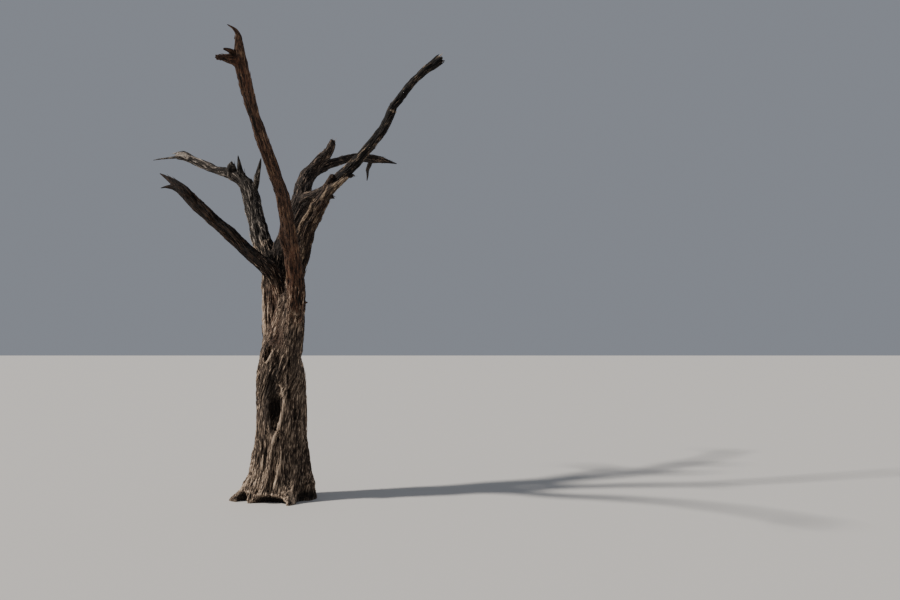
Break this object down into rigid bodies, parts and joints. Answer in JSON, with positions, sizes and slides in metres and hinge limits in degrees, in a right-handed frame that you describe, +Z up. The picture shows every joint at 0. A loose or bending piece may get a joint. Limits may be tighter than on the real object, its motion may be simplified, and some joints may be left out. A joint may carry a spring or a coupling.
{
  "type": "dead tree",
  "caption": "Standing dead tree with a thick twisted trunk, a flared foot and bare broken boughs that fork, with snapped ends, stubs and short dry twigs.",
  "frame": {"origin": "middle of the flat cut under the trunk, at ground level", "axes": "+Z up the trunk, -Y the side with the long hollow, +X towards the tallest bough's broken end"},
  "size_m": [3.0417, 3.9402, 4.1919],
  "materials": {
    "trunk_wood": "grey-brown weathered dead wood, deep twisted furrows",
    "tall_bough_wood": "reddish-brown dry dead wood with dark specks",
    "right_bough_wood": "dark brown dead wood with pale worn ridges",
    "back_bough_wood": "brown-grey dead wood",
    "left_back_wood": "silvery bleached dead wood with dark cracks",
    "left_front_wood": "charcoal-brown dead wood, matt"
  },
  "bodies": {
    "root": {"trunk": "trunk_wood", "tall_bough": "tall_bough_wood", "tall_bough_horn": "tall_bough_wood", "tall_bough_stub": "tall_bough_wood", "right_bough": "right_bough_wood", "right_bough_upper": "right_bough_wood", "back_bough": "back_bough_wood", "back_bough_stub": "back_bough_wood", "back_bough_arm": "back_bough_wood", "back_bough_twig": "back_bough_wood", "back_bough_spur": "back_bough_wood", "left_back_bough": "left_back_wood", "left_back_arm": "left_back_wood", "left_back_arm_twig": "left_back_wood", "left_back_stub": "left_back_wood", "left_back_twig": "left_back_wood", "left_front_bough": "left_front_wood"}
  },
  "joints": []
}
